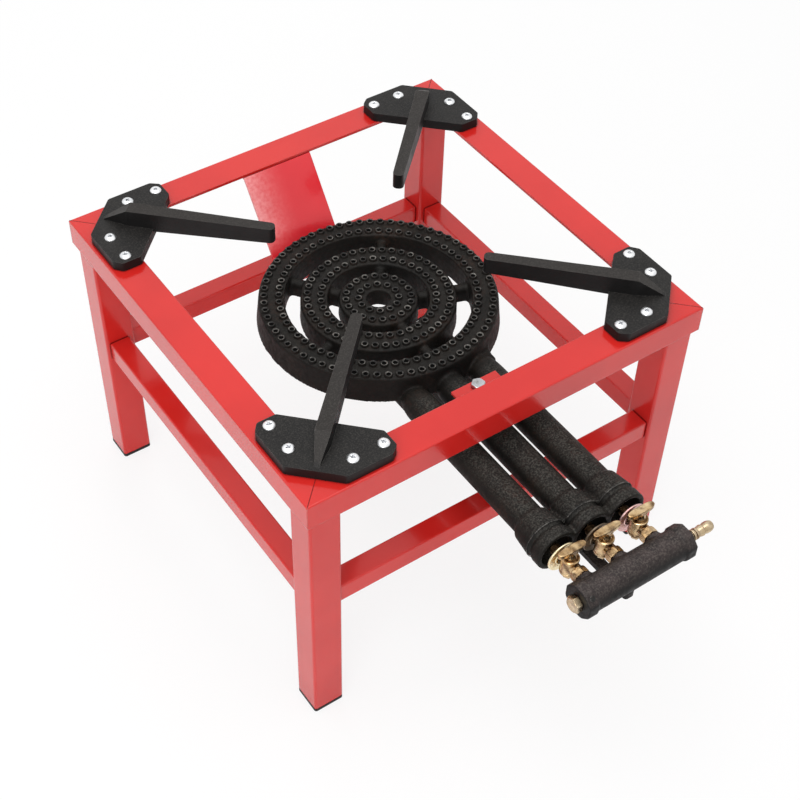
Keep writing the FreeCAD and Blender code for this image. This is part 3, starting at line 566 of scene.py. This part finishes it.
# A darker copy of the shutter metal, for the middle shutter: painted shade
SHUTTER_SHADED = metal("shutter_shaded", tone(96, 84, 72), tone(128, 114, 98), 0.3, 0.5)
PLASTIC = black_plastic()
SEAM_RED = seam_red()
# The screws' cross recesses: a darker copy of the zinc, painted shade
RECESS = metal("recess_metal", tone(140, 142, 146), tone(180, 182, 186), 0.3, 0.5)


def repaint(node, finish):
    """Gives a carried-over node one material."""
    for place in nodes[node].material_slots:
        place.material = finish
    if not nodes[node].material_slots:
        nodes[node].data.materials.append(finish)


# Carried-over nodes: sheet steel, tubes, caps and pan supports
for side in SIDES:
    repaint("top_rail_" + side, RED)
    bevel(nodes["top_rail_" + side], 0.35, 2, 40, weld=True)
    repaint("lower_rail_" + side, RED)
    bevel(nodes["lower_rail_" + side], 0.9, 3, 30, weld=True)
for corner in CORNERS:
    repaint("leg_" + corner, RED)
    bevel(nodes["leg_" + corner], 1.2, 3, 30, weld=True)
    repaint("foot_cap_" + corner, PLASTIC)
    bevel(nodes["foot_cap_" + corner], 0.5, 2, 30, weld=True)
    repaint("pan_support_" + corner, PAN_IRON)
    bevel(nodes["pan_support_" + corner], 1.5, 4, 30, weld=True)
for node, finish in (("front_bracket", RED), ("rear_strap", STRAP_RED)):
    repaint(node, finish)
    bevel(nodes[node], 0.5, 3, 30, weld=True)
repaint("rail_arm", RAIL_IRON)
bevel(nodes["rail_arm"], 0.8, 3, 30, weld=True)


def mitre_lines():
    """Thin dark seams on the flange's mitres, from near each outer corner to the inner one."""
    mesh = bmesh.new()
    start, end, half = 0.9, 42.6, 0.3
    outline = [(start, -half), (end, -half), (end, half), (start, half)]
    for side_x, side_y in CORNERS.values():
        inwards = math.degrees(math.atan2(-side_y, -side_x))
        turn = upright(side_x * FRAME_HALF, side_y * FRAME_HALF, 0, inwards)
        prism(mesh, outline, FLANGE_TOP - 0.3, FLANGE_TOP + 0.03, turn)
    return mesh


# Burner
def tube_turn(x):
    """Turns a shape's own Z to the stand's -Y, on a mixing tube's axis."""
    return Matrix.Translation((x, 0, TUBE_AXIS)) @ turned(90, "X")


# A mixing tube's radii and places along it, from its domed end under the ring to its bell,
# and back down its bore
TUBE_PROFILE = (
    (0, 100),
    (6, 100.8),
    (10.5, 104),
    (13, 110),
    (14.1, 117),
    (14.3, 124),
    (14.3, 267.2),
    (16.8, 269.6),
    (19.2, 287.8),
    (16.8, 289.2),
    (16.8, 291.8),
    (19.2, 293.2),
    (19.2, 303.4),
    (15, 303.4),
    (15, 295.5),
    (10.5, 284),
    (10.5, 130),
    (0, 130),
)


def ring_body(mesh, ring):
    """One ring with a spread foot and a trimmed outer edge."""
    inner, outer, bottom, top = (ring[name] for name in ("inner", "outer", "bottom", "top"))
    foot = outer + ring["flare"]
    section = [
        (inner, bottom),
        (foot, bottom),
        (foot - 0.6, bottom + 4),
        (outer + 0.4, top - 1.5),
        (outer - 0.6, top),
        (inner, top),
    ]
    lathe(mesh, section, RING_PLACE, 160, closed=True)


def rib(mesh, angle):
    """A rib from the outer ring to the inner one, with a rounded top."""
    half, bottom, shoulder, crown = 5, 232, 244, 4.6
    start, end = 26, 92
    outline = [(-half, bottom), (half, bottom), (half, shoulder)]
    for n in range(7):
        way = math.radians(n * 30)
        outline.append((half * math.cos(way), shoulder + crown * math.sin(way)))
    turn = upright(0, 0, 0, angle) @ turned(90, "Y") @ turned(90, "Z")
    prism(mesh, outline, start, end, RING_PLACE @ turn)


def tube_corner(mesh):
    """The hollow curve between the right mixing tube and the outer ring."""
    middle_x, middle_y, radius = 69.3, -106.4, 20
    curve = []
    for n in range(9):
        angle = math.radians(180 - n * 7.1)
        curve.append((middle_x + radius * math.cos(angle), middle_y + radius * math.sin(angle)))
    under_ring = [(44, -84), (40, -112), (49.3, -112)]
    prism(mesh, curve + under_ring, RING_BOTTOM - 2, RING_MIDDLE)


def burner_casting():
    """Rings, ribs, mixing tubes, ducts to the inner rings, and the lugs for bolts and arm."""
    mesh = bmesh.new()
    for ring in RINGS:
        ring_body(mesh, ring)
    for angle in RIB_ANGLES:
        rib(mesh, angle)
    for x in TAPS.values():
        lathe(mesh, TUBE_PROFILE, tube_turn(x), 72)
        block(mesh, (x - 11, -124, RING_BOTTOM - 3), (x + 11, -88, TUBE_AXIS + 2))
    for tap, length in (("middle", 116), ("right", 94)):
        rod(mesh, 10, 0, length, along_y(TAPS[tap], -132, DUCT_AXIS), 40)
    tube_corner(mesh)
    rod(mesh, 8.5, 0, 29.4, upright(0, FRONT_BOLT_PLACE, TUBE_AXIS), 40)
    lathe(mesh, [(0, 0), (10, 0), (11, 8), (0, 8)], upright(0, 96, 226), 40)
    block(mesh, (-6, -302, ARM_TOP), (6, -282, 222))
    return mesh


def port(mesh, turn):
    """One raised port: a pale rim, partly a painted highlight, round a dark hole that is partly painted
    shade.
    """
    sections = (
        (0, [(3.9, -0.8), (3.75, 0.8), (3.5, 1.6), (3.05, 2.1)]),
        (1, [(3.05, 2.1), (2.6, 2.15), (2.05, 1.6)]),
        (2, [(2.05, 1.6), (1.7, 0.8), (1.6, 0.1), (0, 0.1)]),
    )
    for finish, section in sections:
        for face in lathe(mesh, section, turn, 16, capped=False):
            face.material_index = finish


def ports():
    """Every port, and a thin pale bead round each mixing tube's bell, a painted highlight along its
    groove's edge.
    """
    mesh = bmesh.new()
    for x in TAPS.values():
        # The bead is a painted highlight along the edge of each bell's groove
        bead = [(18.8, 287.6), (19.35, 287.7), (19.35, 288.3), (18.8, 288.4)]
        for face in lathe(mesh, bead, tube_turn(x), 72, closed=True):
            face.material_index = 1
    for ring in RINGS:
        for radius, count, shift in ring["rows"]:
            for n in range(count):
                angle = 2 * math.pi * (n + shift) / count
                place = (radius * math.cos(angle), radius * math.sin(angle), ring["top"])
                port(mesh, RING_PLACE @ upright(*place))
    return mesh


piece("mitre_seams", mitre_lines(), SEAM_RED)
casting = piece(
    "burner_skin",
    burner_casting(),
    BURNER_IRON,
    replaces=["burner_casting"],
)
cast(casting, 1.3, 3)
piece("burner_ports", ports(), [BURNER_IRON, PORT_METAL, SOOT_AND_SHADE], smooth=50)


# Screws and bolts
def screw_head(mesh, turn, radius, height, recess):
    """A domed head with a cross recess, as a polar net. The recess has its own, darker material, painted
    shade.
    """
    reach, deep = recess / 2, recess * 0.34

    def sunk(x, y):
        """1 inside the cross, 0 outside it and a short slope between."""
        share = 0
        for across, along in ((x, y), (y, x)):
            side = max(0, min(1, (recess * 0.14 - abs(across)) / 0.3 + 0.5))
            end = max(0, min(1, (reach - abs(along)) / 0.4 + 0.5))
            share = max(share, side * end)
        return share

    radii = [reach * n / 9 for n in range(1, 11)]
    radii += [radius * share for share in (0.68, 0.8, 0.9, 0.965, 1.0)]
    last = [mesh.verts.new(turn @ Vector((0, 0, height - deep)))]
    for out in radii:
        row, dark = [], []
        dome = height * (1 - 0.72 * max(0, (out / radius - 0.35) / 0.65) ** 2.6)
        floor_level = deep * (1 - 0.35 * out / reach)
        for n in range(HEAD_STEPS):
            angle = 2 * math.pi * n / HEAD_STEPS
            share = sunk(out * math.cos(angle), out * math.sin(angle))
            dark.append(share > 0.5)
            row.append(mesh.verts.new(turn @ polar(out, angle, dome - share * floor_level)))
        for n in range(HEAD_STEPS):
            m = (n + 1) % HEAD_STEPS
            corners = (last[n], row[n], row[m], last[m]) if len(last) > 1 else (last[0], row[n], row[m])
            mesh.faces.new(corners).material_index = 1 if dark[n] or dark[m] else 0
        last = row
    base = []
    for n in range(HEAD_STEPS):
        base.append(mesh.verts.new(turn @ polar(radius, 2 * math.pi * n / HEAD_STEPS, 0)))
    for n in range(HEAD_STEPS):
        m = (n + 1) % HEAD_STEPS
        mesh.faces.new((last[n], base[n], base[m], last[m]))
    mesh.faces.new(base[::-1])


def pan_support_screws():
    mesh = bmesh.new()
    edge = 183.7
    places = []
    for side_x, side_y in CORNERS.values():
        for along in (148, 119.5):
            places += [(side_x * edge, side_y * along), (side_x * along, side_y * edge)]
    for n, (x, y) in enumerate(places):
        turn = upright(x, y, PLATE_TOP, 37 * n)
        screw_head(mesh, turn, radius=5.2, height=2.6, recess=4.2)
        lathe(mesh, [(2.4, -17.5), (2.4, 0)], turn, 16)
    return mesh


piece(
    "pan_support_screw_set",
    pan_support_screws(),
    [ZINC, RECESS],
    replaces=["pan_support_screws"],
)


def rail_arm_screws():
    mesh = bmesh.new()
    for y in (RAIL_PLACE, -292):
        turn = upside_down(0, y, ARM_BOTTOM)
        screw_head(mesh, turn, radius=4.4, height=3, recess=4.6)
        lathe(mesh, [(2.4, -10.5), (2.4, 0)], turn, 16)
    return mesh


piece(
    "rail_arm_screw_set",
    rail_arm_screws(),
    [BOLT_ZINC, RECESS],
    replaces=["rail_arm_screws"],
)


def hexagon_head(mesh, turn, across, height):
    """A hexagon with a washer face, flats and a top trimmed to a cone."""
    corner = across / math.sqrt(3)
    washer, washer_height = across * 0.475, 0.5
    untrimmed = across
    profile = [
        (washer_height, washer),
        (washer_height, untrimmed),
        (height * 0.72, untrimmed),
        (height * 0.9, corner * 0.94),
        (height, corner * 0.8),
    ]
    rows = []
    for level, limit in profile:
        row = []
        for n in range(HEAD_STEPS):
            angle = 2 * math.pi * n / HEAD_STEPS
            flat = across / 2 / math.cos((angle + math.pi / 6) % (math.pi / 3) - math.pi / 6)
            row.append(mesh.verts.new(turn @ polar(min(flat, limit), angle, level)))
        rows.append(row)
    for low, high in zip(rows, rows[1:]):
        for n in range(HEAD_STEPS):
            m = (n + 1) % HEAD_STEPS
            mesh.faces.new((low[n], low[m], high[m], high[n]))
    mesh.faces.new(rows[-1])
    mesh.faces.new(rows[0][::-1])
    lathe(mesh, [(washer, 0), (washer, washer_height)], turn, HEAD_STEPS)


def bolt(name, turn, across, shank):
    """A bolt with its size across flats and its shank's radius."""
    mesh = bmesh.new()
    hexagon_head(mesh, turn, across, height=4)
    lathe(mesh, [(shank, -15), (shank, 0.2)], turn, 24)
    thing = piece(name + "_piece", mesh, BOLT_ZINC, replaces=[name], smooth=35)
    bevel(thing, 0.18, 2, 35)


bolt("front_bolt", upright(0, FRONT_BOLT_PLACE, BRACKET_TOP, 11), across=11, shank=3.9)
bolt("rear_bolt", upside_down(0, 95.75, STRAP_FOOT_BOTTOM), across=10, shank=2.9)


# Gas rail with its plug and hose nozzle
def trimmed_end(mesh, low, high, turn):
    """A thicker end with eight flats and round corners between them."""
    radius, sides = 15.2, 8
    step = math.pi / sides
    outline = []
    for n in range(sides * 6):
        angle = 2 * math.pi * n / (sides * 6)
        out = min(radius, radius * 0.955 / math.cos((angle + step) % (2 * step) - step))
        outline.append((out * math.cos(angle), out * math.sin(angle)))
    prism(mesh, outline, low, high, turn)


def gas_rail():
    """A round bar with thicker ends, and bosses for the taps and the rail arm."""
    mesh = bmesh.new()
    turn = along_x(0, RAIL_PLACE, TUBE_AXIS)
    lathe(mesh, [(0, -52), (13.7, -52), (13.9, 0), (13.7, 55), (0, 55)], turn, 64)
    end_length = 9.5
    trimmed_end(mesh, RAIL_LEFT, RAIL_LEFT + end_length, turn)
    trimmed_end(mesh, RAIL_RIGHT - end_length, RAIL_RIGHT, turn)
    boss = [(0, 6), (8.2, 6), (8, 12), (7.4, 15.9), (0, 15.9)]
    for x in TAPS.values():
        lathe(mesh, boss, along_y(x, RAIL_PLACE, TUBE_AXIS), 40)
    lathe(mesh, [(0, 8), (6.2, 8), (6, 24), (0, 24)], upside_down(0, RAIL_PLACE, TUBE_AXIS), 32)
    return mesh


rail = piece("gas_rail_casting", gas_rail(), RAIL_IRON, replaces=["gas_rail"])
cast(rail, 0.8, 3)


def rail_pin():
    """Small pin with a pale rim near the rail's left end."""
    mesh = bmesh.new()
    place = Matrix.Translation((-47.7, RAIL_PLACE - 9, TUBE_AXIS + 10.7))
    outwards = Vector((0, -9.4, 11.2)).normalized()
    turn = place @ outwards.to_track_quat("Z", "Y").to_matrix().to_4x4()
    lathe(mesh, [(0, -1), (2.5, -1), (2.4, 0.9), (1.9, 1.1), (1.6, 0.7), (0, 0.6)], turn, 28)
    return mesh


piece("gas_rail_pin", rail_pin(), PORT_METAL)


def gas_rail_plug():
    mesh = bmesh.new()
    turn = Matrix.Translation((RAIL_LEFT, RAIL_PLACE, TUBE_AXIS)) @ turned(-90, "Y")
    hexagon_head(mesh, turn @ turned(30, "Z"), across=13, height=6)
    return mesh


plug = piece(
    "gas_rail_plug_piece",
    gas_rail_plug(),
    FITTING,
    replaces=["gas_rail_plug"],
    smooth=35,
)
bevel(plug, 0.2, 2, 35)


def hose_nozzle():
    """A nozzle from the bottom of its bore over the tip and back along its barbs to the neck."""
    mesh = bmesh.new()
    profile = [
        (0, 20),
        (2.2, 20),
        (2.2, 28),
        (3.1, 28),
        (3.9, 27.4),
        (4.6, 25.6),
        (4.9, 23.4),
        (4.9, 21.4),
        (4.1, 18.6),
        (4.05, 18),
        (4.9, 17.5),
        (4.9, 16.2),
        (4.1, 12.8),
        (4.05, 12.2),
        (4.9, 11.6),
        (4.9, 10.2),
        (4.0, 9.8),
        (4.0, 9.2),
        (4.9, 8.8),
        (4.9, 7.4),
        (4.6, 7),
        (3.7, 7),
        (3.7, 0),
        (5.9, 0),
        (5.9, -6),
        (0, -6),
    ]
    lathe(mesh, profile, along_x(RAIL_RIGHT, RAIL_PLACE, TUBE_AXIS), 48)
    return mesh


nozzle = piece(
    "hose_nozzle_piece",
    hose_nozzle(),
    FITTING,
    replaces=["hose_nozzle"],
    smooth=30,
)
bevel(nozzle, 0.15, 2, 30)


# Taps
def tap_body(tap):
    """A barrel for the key's plug, a hexagon at the inlet and a threaded outlet."""
    mesh = bmesh.new()
    x = TAPS[tap]
    half_barrel = [(0, -9), (6.9, -9), (7.5, -8.3), (7.5, -6.4), (7.1, -6)]
    barrel = half_barrel + [(radius, -height) for radius, height in reversed(half_barrel)]
    lathe(mesh, barrel, upright(x, KEY_PLACE, TUBE_AXIS), 48)
    inlet = along_y(x, TAP_INLET_PLACE, TUBE_AXIS)
    hexagon_head(mesh, inlet, across=13, height=7.5)
    lathe(mesh, [(5.6, 6), (5.6, 16)], inlet, 40)
    outlet = [(5, 4), (5, 7.7)]
    pitch = 0.8
    for n in range(13):
        outlet += [(5.0, 7.9 + pitch * n), (4.55, 8.3 + pitch * n)]
    outlet += [(4.8, 18.6), (4.4, 19), (0, 19)]
    for face in lathe(mesh, outlet, along_y(x, KEY_PLACE, TUBE_AXIS), 40):
        face.material_index = 1
    thing = piece(
        "tap_body_piece_" + tap,
        mesh,
        [BRASS, THREAD_BRASS],
        replaces=["tap_body_" + tap],
        smooth=35,
    )
    bevel(thing, 0.18, 2, 35)


def on_side(outline, side):
    """An outline as it is for side 1, or mirrored for side -1."""
    if side > 0:
        return outline
    return [(-x, y) for x, y in reversed(outline)]


def drawn_out(share, power):
    """A sine or cosine bent so that an ellipse becomes fuller."""
    return math.copysign(abs(share) ** power, share)


def tap_key(tap):
    """The plug's neck, a fan with two ridges on each side, and a broad wing bar on top."""
    mesh = bmesh.new()
    stand = upright(TAPS[tap], KEY_PLACE, TUBE_AXIS)
    neck = [(0, 6), (4.9, 6), (4.9, 10.6), (4.2, 12), (3.6, 14), (3.4, 18.5), (0, 18.5)]
    lathe(mesh, neck, stand, 40)
    fan = [(0, 10.2), (4.6, 10.6), (6.6, 13.6), (11.6, 16.2), (11.8, 18.4), (0, 18.2)]
    ridge = [(2, 11.2), (5, 11.2), (8.4, 14.8), (11.8, 16.6), (10.6, 18), (6.4, 15.4)]
    turn = stand @ turned(90, "X")
    for side in (-1, 1):
        prism(mesh, on_side(fan, side), -1.5, 1.5, turn)
        for low, high in ((-2.3, -1.2), (1.2, 2.3)):
            prism(mesh, on_side(ridge, side), low, high, turn)
    bar = []
    for n in range(48):
        angle = 2 * math.pi * n / 48
        across, deep = drawn_out(math.cos(angle), 0.6), drawn_out(math.sin(angle), 0.8)
        bar.append((13.2 * across, 3.5 * deep))
    prism(mesh, bar, 15.5, 19.8, stand)
    thing = piece("tap_key_piece_" + tap, mesh, BRASS, "key_" + tap, ["tap_key_" + tap])
    cast(thing, 0.42, 4)


def injector(tap):
    """A small hexagon with a tapered tip and its jet hole."""
    mesh = bmesh.new()
    turn = along_y(TAPS[tap], INJECTOR_PLACE, TUBE_AXIS)
    hexagon_head(mesh, turn, across=7, height=3)
    tip = [(2.5, 2), (2.5, 4), (1.7, 7), (0.7, 7), (0.6, 5), (0, 5)]
    lathe(mesh, tip, turn, 28, capped=False)
    thing = piece(
        "injector_piece_" + tap,
        mesh,
        BRASS,
        replaces=["injector_" + tap],
        smooth=35,
    )
    bevel(thing, 0.12, 2, 35)


def air_shutter(tap, finish):
    """Round plate with a hub, a shallow recess round it and a rolled rim."""
    mesh = bmesh.new()
    turn = along_y(TAPS[tap], SHUTTER_PLACE, TUBE_AXIS)
    section = [
        (5.06, 0),
        (6.9, 0),
        (7.3, 0.35),
        (7.6, 0.6),
        (11.8, 0.6),
        (12.6, 0.15),
        (13.7, 0.15),
        (14.2, 0.6),
        (14.2, 1.6),
        (13.8, 2),
        (5.06, 2),
    ]
    lathe(mesh, section, turn, 72, closed=True)
    name = "air_shutter_piece_" + tap
    thing = piece(name, mesh, finish, "air_shutter_" + tap, ["air_shutter_" + tap], 30)
    bevel(thing, 0.12, 2, 30)


# The middle shutter takes the darker copy of the shutter metal: painted shade
for tap, finish in zip(TAPS, (SHUTTER_CREAM, SHUTTER_SHADED, SHUTTER_PINK)):
    tap_body(tap)
    tap_key(tap)
    injector(tap)
    air_shutter(tap, finish)
    for node in ("key_washer_", "key_nut_"):
        repaint(node + tap, FITTING)
        bevel(nodes[node + tap], 0.2, 2, 30, weld=True)


# Floor, light and camera
def stage_material(name, colour, share):
    """A surface that shows nearly white to the camera and keeps part of its shadow."""
    material = bpy.data.materials.new(name)
    material.use_nodes = True
    tree = material.node_tree
    tree.nodes.clear()
    path = tree.nodes.new("ShaderNodeLightPath")
    part = tree.nodes.new("ShaderNodeMath")
    part.operation = "MULTIPLY"
    part.inputs[1].default_value = share
    tree.links.new(path.outputs["Is Camera Ray"], part.inputs[0])
    matt = tree.nodes.new("ShaderNodeBsdfDiffuse")
    matt.inputs["Color"].default_value = colour
    glow = tree.nodes.new("ShaderNodeEmission")
    both = tree.nodes.new("ShaderNodeMixShader")
    tree.links.new(part.outputs[0], both.inputs["Fac"])
    tree.links.new(matt.outputs[0], both.inputs[1])
    tree.links.new(glow.outputs[0], both.inputs[2])
    out = tree.nodes.new("ShaderNodeOutputMaterial")
    tree.links.new(both.outputs[0], out.inputs["Surface"])
    return material


def floor():
    """A pale floor, six metres each way, just under the feet."""
    mesh = bmesh.new()
    bmesh.ops.create_grid(mesh, x_segments=8, y_segments=8, size=6)
    data = bpy.data.meshes.new("floor")
    mesh.to_mesh(data)
    mesh.free()
    thing = bpy.data.objects.new("floor", data)
    thing.location = (0, 0, -0.5 * MM)
    data.materials.append(stage_material("floor_matt", (0.86, 0.86, 0.86, 1), 0.8))
    bpy.context.scene.collection.objects.link(thing)


def world():
    """White studio light, dimmer on matt surfaces than to the camera and in reflections."""
    sky = bpy.data.worlds.new("studio")
    bpy.context.scene.world = sky
    sky.use_nodes = True
    tree = sky.node_tree
    back = tree.nodes["Background"]
    path = tree.nodes.new("ShaderNodeLightPath")
    seen = tree.nodes.new("ShaderNodeMath")
    seen.operation = "MAXIMUM"
    tree.links.new(path.outputs["Is Camera Ray"], seen.inputs[0])
    tree.links.new(path.outputs["Is Glossy Ray"], seen.inputs[1])
    level = tree.nodes.new("ShaderNodeMapRange")
    level.inputs["To Min"].default_value = 0.62
    level.inputs["To Max"].default_value = 1.0
    tree.links.new(seen.outputs[0], level.inputs["Value"])
    tree.links.new(level.outputs["Result"], back.inputs["Strength"])
    back.inputs["Color"].default_value = (1, 1, 1, 1)


def soft_box(name, place, power, size, mirrored=True):
    """A square area lamp that looks at the stand, and may be left out of reflections."""
    lamp = bpy.data.lights.new(name, "AREA")
    lamp.energy = power
    lamp.size = size
    thing = bpy.data.objects.new(name, lamp)
    thing.location = place
    thing.visible_glossy = mirrored
    thing.rotation_euler = (Vector((0, 0, 0.2)) - Vector(place)).to_track_quat("-Z", "Y").to_euler()
    bpy.context.scene.collection.objects.link(thing)


def camera():
    """The photograph's camera, as fitted to the edges of the frame and the legs."""
    # In pixels: the picture's side, the focal length and the point that the lens looks at
    picture, focal, centre_x, centre_y = 800, 1507.762, 381.568, 417.503
    # In millimetres
    sensor = 36
    eye = Vector((-565.6186, -815.9536, 1172.3054)) * MM
    rows = (
        (0.82697554, -0.56206987, 0.01374465),
        (-0.40590834, -0.61377307, -0.67714181),
        (0.38903711, 0.55440064, -0.73572417),
    )
    lens = bpy.data.cameras.new("camera")
    lens.sensor_width = sensor
    lens.lens = focal * sensor / picture
    lens.shift_x = (picture / 2 - centre_x) / picture
    lens.shift_y = (centre_y - picture / 2) / picture
    lens.clip_start = 0.05
    lens.clip_end = 20
    thing = bpy.data.objects.new("camera", lens)
    right, down, ahead = (Vector(row) for row in rows)
    turn = Matrix((right, -down, -ahead)).transposed().to_4x4()
    thing.matrix_world = Matrix.Translation(eye) @ turn
    bpy.context.scene.collection.objects.link(thing)
    bpy.context.scene.camera = thing


floor()
world()
soft_box("top_light", (-0.3, -0.2, 2.2), 24, 1.6)
soft_box("left_light", (-1.6, -1.5, 1.2), 17, 1.2)
soft_box("rear_light", (0.8, 1.9, 1.4), 10, 1.2, mirrored=False)
camera()
bpy.context.scene.view_settings.view_transform = "Standard"
